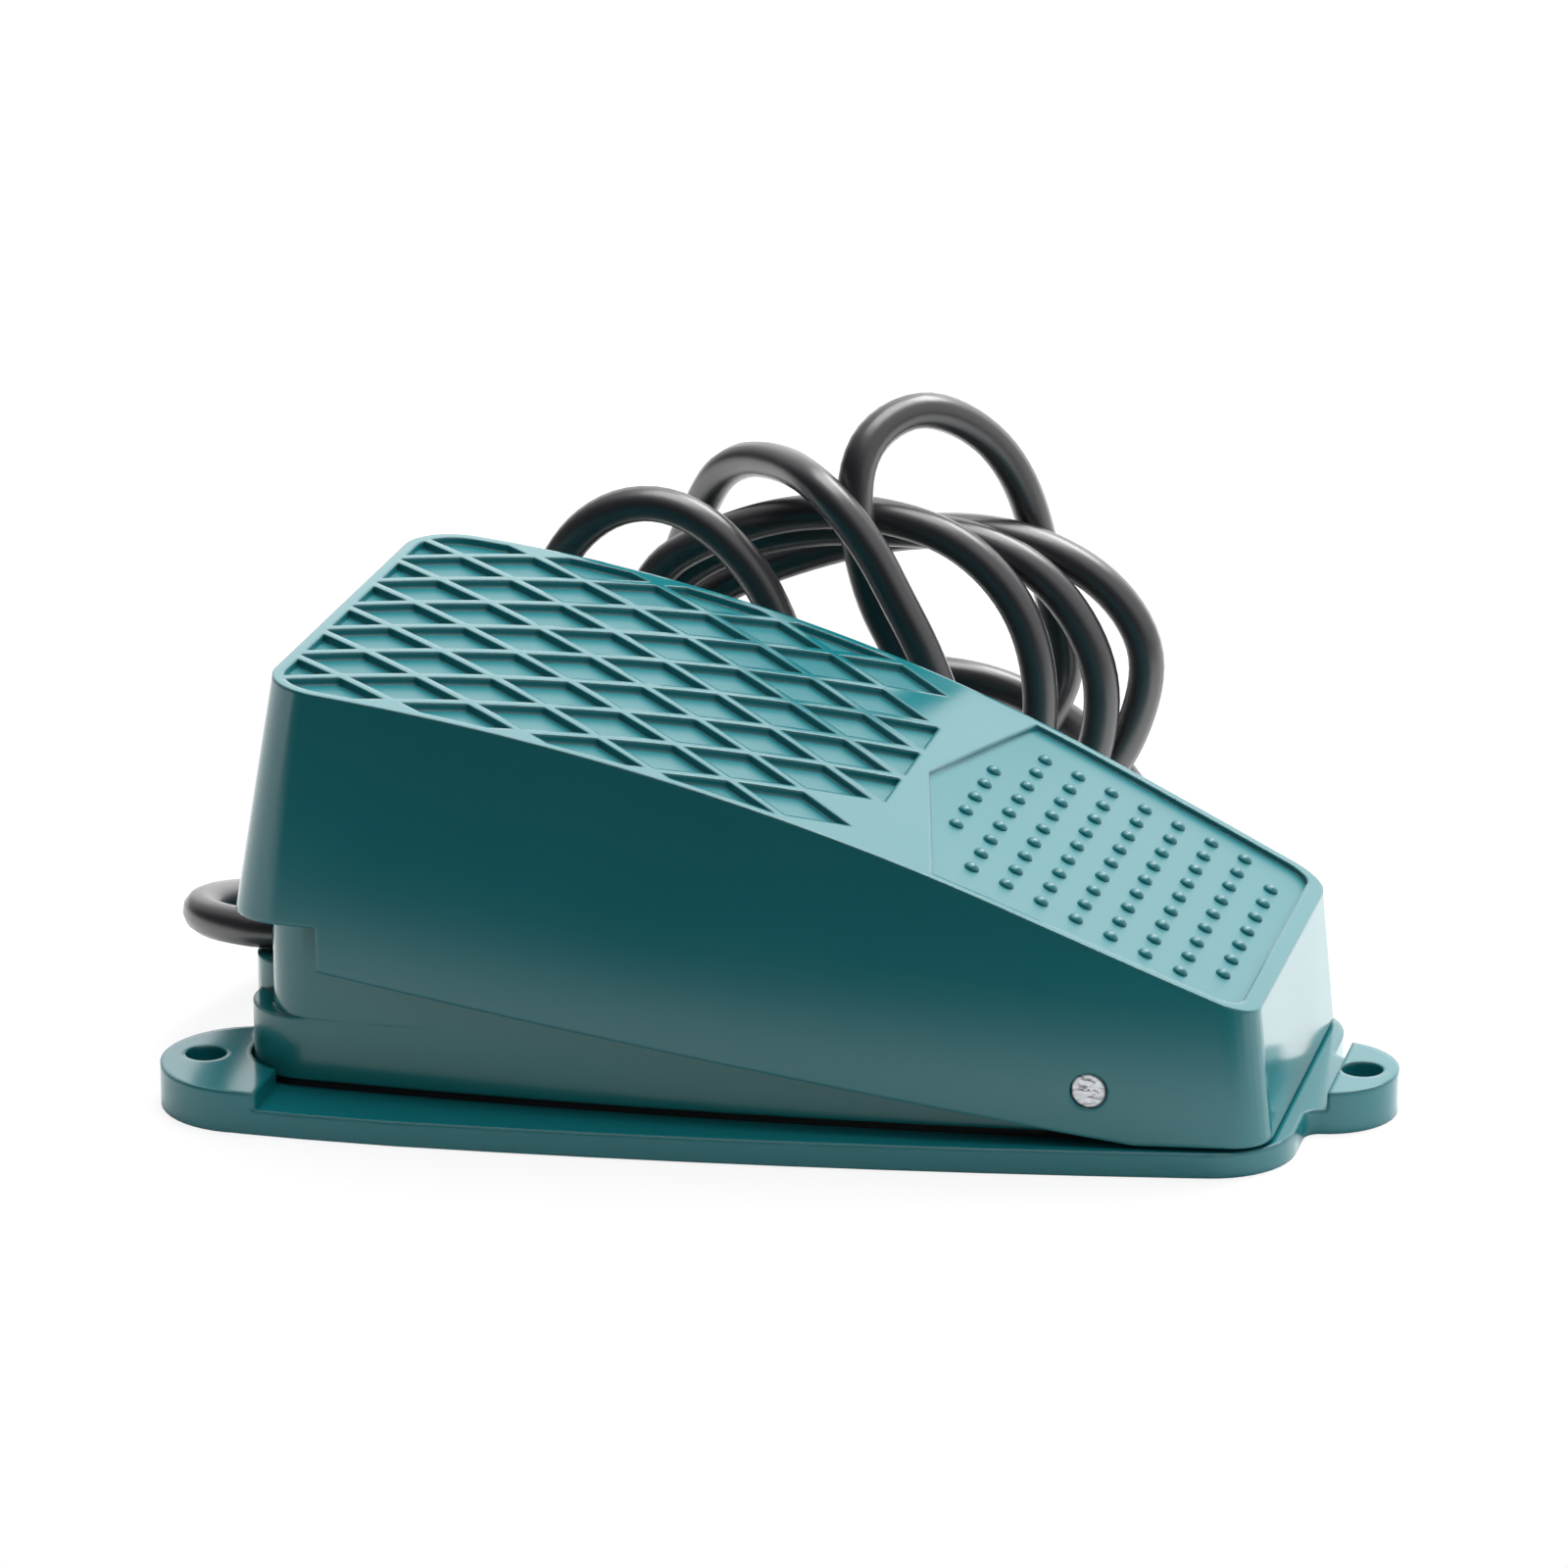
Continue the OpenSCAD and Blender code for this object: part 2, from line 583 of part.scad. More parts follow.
module dots() {
  for (c = [0:8]) {
    x = panel_x + 7.85 + c*dot_pitch_x*cos(slope_a);
    m = c == 0 ? 2 : c == 8 ? 3 : 4;
    for (j = [-m:m]) translate([x, j*dot_pitch_y, surf_z(x, panel_d)])
      rotate([0, surf_a(x, panel_d), 0]) translate([0, 0, -0.3])
        cylinder(h = dot_h + 0.3, d1 = dot_d + 0.3, d2 = dot_d*0.3, $fn = 8);
  }
}
module pedal_ribs() {
  intersection() {
    difference() {
      under(top_t - 0.5);
      under(top_t + rib_h);
    }
    union() {
      for (s = [-1, 1]) translate([-70, s*17 - rib_t/2, 0]) cube([125, rib_t, 90]);
      for (x = [-20, 10]) translate([x - rib_t/2, -big/3, 0]) cube([rib_t, 2*big/3, 90]);
    }
    block(wall - 0.2);
  }
}
module pedal_shell() {
  color([0.12, 0.42, 0.43]) difference() {
    union() {
      difference() {
        intersection() {
          block(0);
          under(0);
        }
        intersection() {
          block(wall);
          under(top_t);
        }
        // skirt line with its notch at the toe
        rotate([90, 0, 0]) linear_extrude(2*big, center = true)
          polygon([[-big, -30], [-big, skirt_toe_z], [notch_x, skirt_toe_z],
            [notch_x, skirt_notch_z], [skirt_heel_x, skirt_heel_z], [big, skirt_heel_z], [big, -30]]);
        // rhombic tread pockets and the dotted panel, sunk parallel to the surface
        difference() {
          linear_extrude(90) tread_pockets();
          under(cell_d);
        }
        difference() {
          linear_extrude(90) panel_plan();
          under(panel_d);
        }
        // slot that clears the cord when the pedal goes down
        translate([toe_x(0) - 2, cord_y - cord_r - slot_gap, 0])
          cube([20, cord_d + 2*slot_gap, slot_top]);
      }
      dots();
      pedal_ribs();
      for (s = [-1, 1]) intersection() {
        translate([stop_x, s*stop_y, stop_boss_z]) cylinder(h = 30, d = stop_d + 1);
        under(1.9 + cell_d/4);
      }
      intersection() {
        translate([spring_x, 0, seat_high]) cylinder(h = 30, d = seat_d);
        under(top_t - 0.5);
      }
      intersection() {
        translate([plunger_x, 0, nut_z + nut_t]) cylinder(h = 30, d = 12);
        under(top_t - 0.5);
      }
    }
    translate([hinge_x, 0, hinge_z]) rotate([90, 0, 0])
      cylinder(h = 2*big, d = pin_d, center = true);
    translate([plunger_x, 0, nut_z]) cylinder(h = act_top - nut_z + 0.4, d = act_d + 0.1);
  }
}
module hinge_pin() {
  color("silver") translate([hinge_x, 0, hinge_z]) rotate([90, 0, 0])
    cylinder(h = 2*(half(hinge_x) - pin_recess), d = pin_d, center = true);
}
module actuator_screw() {
  color("silver") translate([plunger_x, 0, tip_z]) {
    translate([0, 0, act_d/2]) cylinder(h = act_top - tip_z - act_d/2, d = act_d);
    translate([0, 0, act_d/2]) sphere(d = act_d);
  }
}
module lock_nut() {
  color("silver") translate([plunger_x, 0, nut_z]) difference() {
    cylinder(h = nut_t, d = nut_af/cos(30), $fn = 6);
    translate([0, 0, -1]) cylinder(h = nut_t + 2, d = act_d + 0.1);
  }
}
module plunger() {
  color("white") translate([plunger_x, 0, 0]) {
    translate([0, 0, head_z]) cylinder(h = head_t, d = plunger_d + 4);
    translate([0, 0, stem_z]) cylinder(h = head_z - stem_z + 0.5, d = plunger_d);
  }
}

// snap switch and its bracket -----------------------------------------------
function bracket_at() = [for (s = [-1, 1])
  [case_x + s*(foot_l/2 - small_head_d/2 - 0.5), bracket_t - switch_w/2 - foot_w + 3.2]];
function switch_at() = [for (s = [-1, 1]) [case_x + s*(switch_l/2 - hole_in), case_z + hole_up]];
module switch_bracket() {
  color("gray") difference() {
    union() {
      translate([case_x - bracket_l/2, -switch_w/2 - bracket_t, case_z])
        cube([bracket_l, bracket_t, switch_h*0.63]);
      translate([case_x - foot_l/2, -switch_w/2 - bracket_t, flange_t])
        cube([foot_l, bracket_t, case_z + 1 - flange_t]);
      translate([case_x - foot_l/2, -switch_w/2 - foot_w, flange_t])
        cube([foot_l, foot_w, bracket_t]);
    }
    for (p = bracket_at()) translate([p.x, p.y, 0]) cylinder(h = 20, d = small_hole_d);
    switch_holes();
  }
}
module switch_holes() {
  for (p = switch_at()) translate([p.x, 0, p.y]) rotate([90, 0, 0])
    cylinder(h = 40, d = small_d + 0.1, center = true);
}
module bracket_screws() {
  color("silver") for (p = bracket_at()) translate([p.x, p.y, 0]) {
    translate([0, 0, 1.3]) cylinder(h = flange_t + 0.4, d = small_d);
    translate([0, 0, flange_t + bracket_t]) cylinder(h = small_head_h, d = small_head_d);
  }
}
module switch_case() {
  color("black") difference() {
    translate([case_x - switch_l/2, -switch_w/2, case_z]) cube([switch_l, switch_w, switch_h]);
    translate([plunger_x - button_l/2 - 0.1, -button_w/2 - 0.1, case_top - button_in - 2])
      cube([button_l + 0.2, button_w + 0.2, 10]);
    switch_holes();
  }
}
module switch_button() {
  color("red") translate([plunger_x - button_l/2, -button_w/2, case_top - button_in])
    cube([button_l, button_w, button_in + button_up]);
}
module switch_screws() {
  color("silver") for (p = switch_at()) translate([p.x, 0, p.y]) rotate([90, 0, 0]) {
    translate([0, 0, -switch_w/2]) cylinder(h = switch_w + bracket_t + 2.9, d = small_d - 0.1);
    translate([0, 0, -switch_w/2 - small_head_h]) cylinder(h = small_head_h, d = small_head_d);
    translate([0, 0, switch_w/2 + bracket_t]) cylinder(h = 2.4, d = 5.5/cos(30), $fn = 6);
  }
}
function terminal_z(k) = case_z + switch_h*(3 + 4.5*k)/15.9;
module switch_terminals() {
  color("gold") for (k = [0:2])
    translate([case_x - switch_l/2 - terminal_l, -terminal_w/2, terminal_z(k)])
      cube([terminal_l, terminal_w, terminal_t]);
}

// cord inside the housing ---------------------------------------------------
module cord_grommet() {
  color("black") translate([0, cord_y, cord_z]) rotate([0, 90, 0]) rotate_extrude()
    polygon([[cord_r + 0.05, nose_x], [cord_r + 1, nose_x], [bore_r, house_toe],
      [bore_r, house_toe + house_t], [bore_r + 2, house_toe + house_t],
      [bore_r + 2, house_toe + house_t + 2], [bore_r - 0.2, house_toe + house_t + 2],
      [cord_r + 1, inner_x], [cord_r + 0.05, inner_x]]);
}
module cord_inner() {
  color("black") translate([nose_x, cord_y, cord_z]) rotate([0, 90, 0])
    cylinder(h = inner_end - nose_x, r = cord_r);
}
function clamp_at() = [for (s = [-1, 1])
  [clamp_x + clamp_l/2 - 1, cord_y + s*(clamp_w/2 - small_head_d/2 - 0.7)]];
module cord_clamp() {
  color("ivory") difference() {
    clamp_block(cord_z - clamp_split + 0.2, cord_z + clamp_top, clamp_l - 2);
    translate([clamp_x - 1, cord_y, cord_z]) rotate([0, 90, 0]) cylinder(h = clamp_l, r = cord_r + 0.1);
    for (p = clamp_at()) translate([p.x, p.y, 0]) cylinder(h = big, d = small_hole_d);
  }
}
module clamp_screws() {
  color("silver") for (p = clamp_at()) translate([p.x, p.y, 0]) {
    translate([0, 0, cord_z - clamp_bite]) cylinder(h = clamp_bite + clamp_top, d = small_d);
    translate([0, 0, cord_z + clamp_top]) cylinder(h = small_head_h, d = small_head_d);
  }
}
function wire(y, z, end, bow) =
  let (a = [inner_end, cord_y + y, cord_z + z])
  concat([for (k = [0:2]) a + [2*k, 0, 0]],
    [for (t = [0.35, 0.65]) a + t*(end - a) - [0, 0, bow]], [end - [6, 0, 0], end]);
function terminal_end(k) = [case_x - switch_l/2 - terminal_l - 0.2, 0, terminal_z(k) + terminal_t/2];
module wire_live() {
  color("brown") tube(dense(wire(-1.4, -0.9, terminal_end(0), 2), 2), core_d/2, 8);
}
module wire_neutral() {
  color("blue") tube(dense(wire(1.4, -0.9, terminal_end(1), 0), 2), core_d/2, 8);
}
module wire_earth() {
  color("gold") difference() {
    union() {
      translate([earth_x, earth_y, earth_z]) cylinder(h = washer_t, d = washer_d);
      translate([earth_x - 1.5, earth_y - 5.5, earth_z]) cube([3, 5.5, washer_t]);
    }
    translate([earth_x, earth_y, 0]) cylinder(h = big, d = earth_d + 0.1);
  }
  a = [inner_end, cord_y, cord_z + 1.6];
  b = [earth_x, earth_y - 4.6, earth_z + 0.7];
  color("green") tube(dense([a, a + [1.5, 0, 0], a + [3, 0, 0], a + [8, -5, -1], b + [-0.5, 0.3, 11],
    b + [0, 0, 5], b], 2), core_d/2, 8);
}
module earth_screw() {
  color("silver") translate([earth_x, earth_y, 0]) {
    translate([0, 0, 2]) cylinder(h = earth_z + washer_t - 2, d = earth_d);
    translate([0, 0, earth_z + washer_t]) cylinder(h = 2.4, d = washer_d - 1.2);
  }
}

// cord outside the housing --------------------------------------------------
module stadium(r, h) {
  hull() for (s = [-1, 1]) translate([s*h, 0]) circle(r, $fn = 48);
}
module cord_lead() {
  color([0.13, 0.13, 0.15]) tube(route, cord_r, 8);
}
module cord_coil() {
  color([0.13, 0.13, 0.15]) translate([coil_c.x, coil_y[1], coil_c.y]) rotate([90, 0, 0])
    linear_extrude(coil_y[1] - coil_y[0]) difference() {
      stadium(coil_r, coil_half);
      translate(coil_hole_c) stadium(coil_hole, coil_hole_half);
    }
}
module tie_inside() {
  x0 = coil_c.x - coil_half - coil_r - tie_gap;
  x1 = coil_c.x + coil_hole_c.x - coil_hole_half - coil_hole + tie_gap;
  translate([x0, coil_y[0] - tie_gap]) square([x1 - x0, coil_y[1] - coil_y[0] + 2*tie_gap]);
}
module cord_tie() {
  color("black") translate([0, 0, coil_c.y + coil_hole_c.y - 2]) linear_extrude(4) difference() {
    offset(r = 1.2) tie_inside();
    tie_inside();
  }
}
module cord_tail() {
  color([0.13, 0.13, 0.15]) tube(dense(tail, 2), cord_r, 8);
}
module core(y, turn) {
  e = tail[len(tail) - 1];
  tube(dense([[e.x, e.y + y, e.z - abs(y)*0.5], [e.x + 5, e.y + y*1.2, 2.4],
    [e.x + 12, e.y + y*2 + turn, 1.6], [e.x + 21, e.y + y*3 + turn*2, 1.4]], 2), core_d/2, 8);
}
module core_live() {
  color("brown") core(-1.5, -1);
}
module core_neutral() {
  color("blue") core(1.5, 1);
}
module core_earth() {
  e = tail[len(tail) - 1];
  color("gold") tube(dense([[e.x, e.y, e.z + 1.4], [e.x + 6, e.y, 5], [e.x + 13, e.y + 0.5, 2.6],
    [e.x + 24, e.y + 1, 1.4]], 2), core_d/2, 8);
}

base_plate();
base_gasket();
housing_shell();
base_screws();
pedal_shell();
hinge_pin();
actuator_screw();
lock_nut();
plunger();
plunger_guide();
return_spring();
stop_buffers();
switch_bracket();
bracket_screws();
switch_case();
switch_button();
switch_screws();
switch_terminals();
cord_grommet();
cord_inner();
cord_clamp();
clamp_screws();
wire_live();
wire_neutral();
wire_earth();
earth_screw();
cord_lead();
cord_coil();
cord_tie();
cord_tail();
core_live();
core_neutral();
core_earth();
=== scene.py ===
import math
import bpy
import bmesh
from mathutils import Matrix, Vector


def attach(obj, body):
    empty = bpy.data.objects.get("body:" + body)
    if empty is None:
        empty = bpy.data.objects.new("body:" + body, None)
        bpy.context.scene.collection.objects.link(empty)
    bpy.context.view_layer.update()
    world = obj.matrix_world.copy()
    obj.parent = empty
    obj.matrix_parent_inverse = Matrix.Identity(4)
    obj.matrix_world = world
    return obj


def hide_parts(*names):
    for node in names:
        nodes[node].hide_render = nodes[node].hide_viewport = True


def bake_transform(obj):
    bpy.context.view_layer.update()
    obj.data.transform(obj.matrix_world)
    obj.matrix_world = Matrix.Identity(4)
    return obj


# The switch as it was drawn up: base plate, housing and pedal, with the cord
# behind. Everything below is in metres in the drawing's own frame.
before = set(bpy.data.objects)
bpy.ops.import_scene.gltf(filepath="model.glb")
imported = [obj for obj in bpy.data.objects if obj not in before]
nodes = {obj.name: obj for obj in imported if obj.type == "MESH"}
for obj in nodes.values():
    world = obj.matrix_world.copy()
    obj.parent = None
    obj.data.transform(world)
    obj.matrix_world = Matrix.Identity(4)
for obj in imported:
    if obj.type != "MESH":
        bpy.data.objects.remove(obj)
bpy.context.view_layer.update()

# Camera, at the height of a person crouching in front of the near side, a
# little towards the heel, with a long lens.
right = Vector((0.97013, 0.24260, 0.0))
back = Vector((0.23008, -0.92006, 0.31714))
up = back.cross(right)
eye = -0.0040 * right + 0.04655 * up + 1.2014 * back
lens = bpy.data.cameras.new("studio camera")
lens.sensor_width = 36.0
lens.lens = 164.25
lens.clip_end = 30
camera = bpy.data.objects.new("studio camera", lens)
camera.matrix_world = Matrix((
    (right.x, up.x, back.x, eye.x),
    (right.y, up.y, back.y, eye.y),
    (right.z, up.z, back.z, eye.z),
    (0, 0, 0, 1)))
bpy.context.collection.objects.link(camera)
bpy.context.scene.camera = camera
bpy.context.scene.view_settings.view_transform = "Standard"


def link(tree, a, out, b, into):
    tree.links.new(a.outputs[out], b.inputs[into])


def new_material(name):
    mat = bpy.data.materials.new(name)
    mat.use_nodes = True
    return mat, mat.node_tree, mat.node_tree.nodes["Principled BSDF"]


# Supply cord: black PVC round three cores. It leaves the housing beside the
# toe, is thrown behind the pedal in three loose arches and stands there in a
# coil of three turns, with its stripped end on the floor.
CORD = 0.0064
CORD_STEP = 2.2
CORD_PASSES = 5
lead = [(-84, -26, 25.1), (-86.5, -26, 25.1), (-89, -26, 25.1), (-93, -25, 25),
        (-97.5, -22, 24.5), (-101, -17.5, 24), (-102, -10, 23), (-101, 3, 19.5), (-98, 19, 15),
        (-93.5, 35, 12), (-87, 49, 11), (-78.5, 58.5, 16), (-71.5, 61.5, 31), (-66, 62, 50),
        (-59.5, 62, 67), (-50.5, 62, 75.5), (-40.5, 62, 77), (-31.5, 62, 72.5),
        (-23.5, 62, 63.5), (-17.5, 62, 49), (-15, 63, 33), (-17.5, 69, 20), (-25, 79, 14),
        (-34, 89, 16.5), (-43, 95.5, 25), (-49, 97, 39), (-48, 95.5, 55), (-41, 90, 70.5),
        (-37.5, 87, 76), (-31, 81.5, 80.5), (-22, 72.5, 82.5), (-14.5, 64, 82), (-9, 61.5, 78),
        (-3.5, 61, 71), (1.5, 60.5, 62), (6, 60.5, 53.5), (12, 61, 36), (10.5, 63, 26),
        (3, 69.5, 18.5), (-7, 79, 15), (-17.5, 88, 15), (-26.5, 95.5, 17.5), (-28, 101, 26.5),
        (-16, 103.5, 35), (2, 103, 36.5), (14, 105, 33), (24.5, 107.5, 26), (32, 112, 15),
        (34, 120.5, 6.5), (28.5, 128.5, 4), (18.5, 129, 4), (12, 122, 6), (11.5, 112, 13),
        (16.5, 101, 25.5), (24, 95.5, 41), (22, 95, 51), (19, 95, 63.5), (15.5, 93.5, 76),
        (9.5, 89, 86), (0.5, 81, 92), (-6.5, 73, 89), (-8.5, 68.5, 82.5), (-8, 68, 73),
        (-5, 68, 60.5), (-0.5, 68, 52), (6.5, 68, 40), (13, 69, 28.5), (15, 68, 17.5), (10, 67, 8)]
coil = [(-2, 68.5, 4), (-16, 70.5, 3.5), (-32, 72.5, 6.5), (-46, 73.5, 18), (-53, 74.5, 37),
        (-47, 75, 59), (-38, 75, 66.5), (-23.5, 75, 72.5), (-8, 75, 74), (8, 75, 70),
        (19.5, 75, 58.5), (23.5, 75, 42), (20, 76, 25), (8, 77.5, 10.5), (-8, 78.5, 4.5),
        (-24, 79.5, 4), (-40, 80, 10), (-50, 81, 23), (-53, 81.5, 39.5), (-45, 81.5, 56.5),
        (-33, 81.5, 64.5), (-19.5, 81.5, 68.5), (-5, 81.5, 69.5), (8.5, 81.5, 69),
        (22, 81.5, 63), (31, 81.5, 51), (33, 82, 38), (28, 82.5, 22), (15, 84, 9.5),
        (-2, 85.5, 4), (-20, 86.5, 4), (-36, 87, 9.5), (-46, 87.5, 22), (-49, 88, 36.5),
        (-45, 88.5, 47.5), (-37.5, 89, 54.5), (-21, 89, 62), (-3, 89, 67), (15.5, 88, 67.5),
        (31, 88, 61), (39.5, 88, 49.5), (38.5, 88.5, 37.5), (33, 89.5, 25.5), (22, 90, 13)]
tail = [(9, 92, 6), (-8, 94.5, 4), (-24, 97, 3.5), (-38, 100, 3.5), (-48.5, 106, 3.5),
        (-54, 116, 3.5), (-51.5, 126.5, 3.5), (-42, 132.5, 3.5), (-30, 133, 3.5),
        (-20, 131.5, 3.5)]


def smooth(points, steps):
    pts = [Vector(p) for p in points]
    out = []
    for i in range(len(pts) - 1):
        a, b, c = pts[max(i - 1, 0)], pts[i], pts[i + 1]
        d = pts[min(i + 2, len(pts) - 1)]
        for k in range(steps):
            t = k / steps
            out.append(0.5 * (2 * b + (c - a) * t + (2 * a - 5 * b + 4 * c - d) * t * t
                              + (3 * b - a - 3 * c + d) * t ** 3))
    return out + [pts[-1]]


def evened(points, step, passes):
    """The same route at even steps, with the corners between its points worn away."""
    out, left = [points[0]], step
    for a, b in zip(points, points[1:]):
        while (b - a).length >= left:
            a = a + (b - a).normalized() * left
            out.append(a)
            left = step
        left -= (b - a).length
    out.append(points[-1])
    for _ in range(passes):
        out = (out[:3] + [(a + 2 * b + c) / 4 for a, b, c in zip(out[2:], out[3:], out[4:])]
               + out[-1:])
    return out


route = evened(smooth(lead + coil + tail, 8), CORD_STEP, CORD_PASSES)
length = sum((b - a).length for a, b in zip(route, route[1:])) / 1000
print("cord length", round(length, 3), "points", len(route))


def tube(name, points, radius, mat, sides=3):
    data = bpy.data.curves.new(name, "CURVE")
    data.dimensions = "3D"
    data.bevel_depth = radius
    data.bevel_resolution = sides
    data.use_fill_caps = True
    line = data.splines.new("POLY")
    line.points.add(len(points) - 1)
    for p, q in zip(line.points, points):
        p.co = (q[0] / 1000, q[1] / 1000, q[2] / 1000, 1)
    line.use_smooth = True
    data.materials.append(mat)
    obj = bpy.data.objects.new(name, data)
    bpy.context.collection.objects.link(obj)
    return obj


def grain_group():
    # fine grain, a little wear and softened edges, shared by every material of the switch
    group = bpy.data.node_groups.new("moulded grain", "ShaderNodeTree")
    face = group.interface
    for name, kind, value in (("Colour", "NodeSocketColor", (0.1, 0.1, 0.1, 1)),
                              ("Roughness", "NodeSocketFloat", 0.3),
                              ("Grain", "NodeSocketFloat", 0.05), ("Edge", "NodeSocketFloat", 0.0)):
        face.new_socket(name, in_out="INPUT", socket_type=kind).default_value = value
    for name, kind in (("Colour", "NodeSocketColor"), ("Roughness", "NodeSocketFloat"),
                       ("Normal", "NodeSocketVector")):
        face.new_socket(name, in_out="OUTPUT", socket_type=kind)
    n = group.nodes
    begin, end = n.new("NodeGroupInput"), n.new("NodeGroupOutput")
    where = n.new("ShaderNodeTexCoord")
    fine, broad = n.new("ShaderNodeTexNoise"), n.new("ShaderNodeTexNoise")
    fine.inputs["Scale"].default_value = 900
    fine.inputs["Detail"].default_value = 2
    broad.inputs["Scale"].default_value = 22
    broad.inputs["Detail"].default_value = 4
    soft = n.new("ShaderNodeBevel")
    soft.samples = 6
    bump = n.new("ShaderNodeBump")
    bump.inputs["Distance"].default_value = 0.0001
    tone = n.new("ShaderNodeMix")
    tone.data_type = "RGBA"
    tone.blend_type = "MULTIPLY"
    shade = n.new("ShaderNodeMapRange")
    shade.inputs["To Min"].default_value = 0.93
    shade.inputs["To Max"].default_value = 1.05
    rough = n.new("ShaderNodeMapRange")
    rough.inputs["From Min"].default_value = 0.3
    rough.inputs["From Max"].default_value = 0.7
    more = n.new("ShaderNodeMath")
    more.operation = "ADD"
    more.inputs[1].default_value = 0.06
    link(group, where, "Object", fine, "Vector")
    link(group, where, "Object", broad, "Vector")
    link(group, begin, "Edge", soft, "Radius")
    link(group, soft, 0, bump, "Normal")
    link(group, fine, 0, bump, "Height")
    link(group, begin, "Grain", bump, "Strength")
    link(group, broad, 0, shade, 0)
    group.links.new(begin.outputs["Colour"], tone.inputs["A"])
    group.links.new(shade.outputs[0], tone.inputs["B"])
    tone.inputs["Factor"].default_value = 1.0
    link(group, broad, 0, rough, 0)
    link(group, begin, "Roughness", more, 0)
    group.links.new(begin.outputs["Roughness"], rough.inputs["To Min"])
    group.links.new(more.outputs[0], rough.inputs["To Max"])
    group.links.new(tone.outputs["Result"], end.inputs["Colour"])
    link(group, rough, 0, end, "Roughness")
    link(group, bump, 0, end, "Normal")
    return group


grain = grain_group()


def moulded(name, colour, roughness, strength=0.05, soft_edge=0.0, metal=0.0):
    mat, tree, bsdf = new_material(name)
    skin = tree.nodes.new("ShaderNodeGroup")
    skin.node_tree = grain
    skin.inputs["Colour"].default_value = colour
    skin.inputs["Roughness"].default_value = roughness
    skin.inputs["Grain"].default_value = strength
    skin.inputs["Edge"].default_value = soft_edge
    bsdf.inputs["Metallic"].default_value = metal
    link(tree, skin, "Colour", bsdf, "Base Color")
    link(tree, skin, "Roughness", bsdf, "Roughness")
    link(tree, skin, "Normal", bsdf, "Normal")
    return mat


pvc = moulded("black PVC", (0.016, 0.016, 0.019, 1), 0.30, 0.10)
pvc.node_tree.nodes["Principled BSDF"].inputs["Specular IOR Level"].default_value = 0.95
cord = tube("supply_cord", route, CORD / 2, pvc, 4)
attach(cord, "base")
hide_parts("cord_lead", "cord_coil", "cord_tail")

# Floor and studio: a white sweep that goes on past the picture, soft light from above, behind and
# the right, and a darker room in front. The darker room is painted shade: the floor's colour goes
# near black in front of the switch. That shows in reflections and bounced light, while the camera
# sees the floor as a white glow.
floor_mat, tree, bsdf = new_material("studio floor")
bsdf.inputs["Roughness"].default_value = 0.9
on_floor = tree.nodes.new("ShaderNodeTexCoord")
depth = tree.nodes.new("ShaderNodeVectorMath")
depth.operation = "DOT_PRODUCT"
depth.inputs[1].default_value = (-0.2425, 0.970, 0)
# painted shade: the floor's colour goes from white behind to near black in front of the switch, for
# the unlit room there
edge = tree.nodes.new("ShaderNodeMapRange")
edge.interpolation_type = "SMOOTHSTEP"
edge.inputs["From Min"].default_value = -0.135
edge.inputs["From Max"].default_value = -0.080
edge.inputs["To Min"].default_value = 0.03
edge.inputs["To Max"].default_value = 0.9
link(tree, on_floor, "Object", depth, 0)
link(tree, depth, "Value", edge, "Value")
link(tree, edge, "Result", bsdf, "Base Color")
glow = tree.nodes.new("ShaderNodeEmission")
glow.inputs["Strength"].default_value = 1.0
seen = tree.nodes.new("ShaderNodeLightPath")
clear = tree.nodes.new("ShaderNodeMapRange")
clear.inputs["From Min"].default_value = -0.100
clear.inputs["From Max"].default_value = -0.070
clear.inputs["To Min"].default_value = 1.0
clear.inputs["To Max"].default_value = 0.82
part = tree.nodes.new("ShaderNodeMath")
part.operation = "MULTIPLY"
link(tree, depth, "Value", clear, "Value")
link(tree, clear, "Result", part, 1)
mix = tree.nodes.new("ShaderNodeMixShader")
link(tree, seen, "Is Camera Ray", part, 0)
link(tree, part, 0, mix, 0)
tree.links.new(bsdf.outputs[0], mix.inputs[1])
tree.links.new(glow.outputs[0], mix.inputs[2])
tree.links.new(mix.outputs[0], tree.nodes["Material Output"].inputs["Surface"])
mesh = bpy.data.meshes.new("studio floor")
mesh.from_pydata([(-8, -8, 0), (8, -8, 0), (8, 8, 0), (-8, 8, 0)], [], [(0, 1, 2, 3)])
mesh.materials.append(floor_mat)
floor = bpy.data.objects.new("studio_floor", mesh)
floor.location.z = -0.0002
bpy.context.collection.objects.link(floor)

world = bpy.data.worlds.new("studio")
bpy.context.scene.world = world
world.use_nodes = True
tree = world.node_tree
sky = tree.nodes["Background"]
place = tree.nodes.new("ShaderNodeTexCoord")
toward = tree.nodes.new("ShaderNodeVectorMath")
toward.operation = "DOT_PRODUCT"
toward.inputs[1].default_value = (0.52, 0.66, 0.62)
ramp = tree.nodes.new("ShaderNodeMapRange")
ramp.interpolation_type = "SMOOTHSTEP"
ramp.inputs["From Min"].default_value = -0.25
ramp.inputs["From Max"].default_value = 0.45
ramp.inputs["To Min"].default_value = 0.035
ramp.inputs["To Max"].default_value = 1.0
seen = tree.nodes.new("ShaderNodeLightPath")
white = tree.nodes.new("ShaderNodeMath")
white.operation = "MAXIMUM"
link(tree, place, "Generated", toward, 0)
link(tree, toward, "Value", ramp, "Value")
window = tree.nodes.new("ShaderNodeVectorMath")
window.operation = "DOT_PRODUCT"
window.inputs[1].default_value = (0.08, 0.93, 0.36)
glare = tree.nodes.new("ShaderNodeMapRange")
glare.interpolation_type = "SMOOTHSTEP"
glare.inputs["From Min"].default_value = 0.60
glare.inputs["From Max"].default_value = 0.98
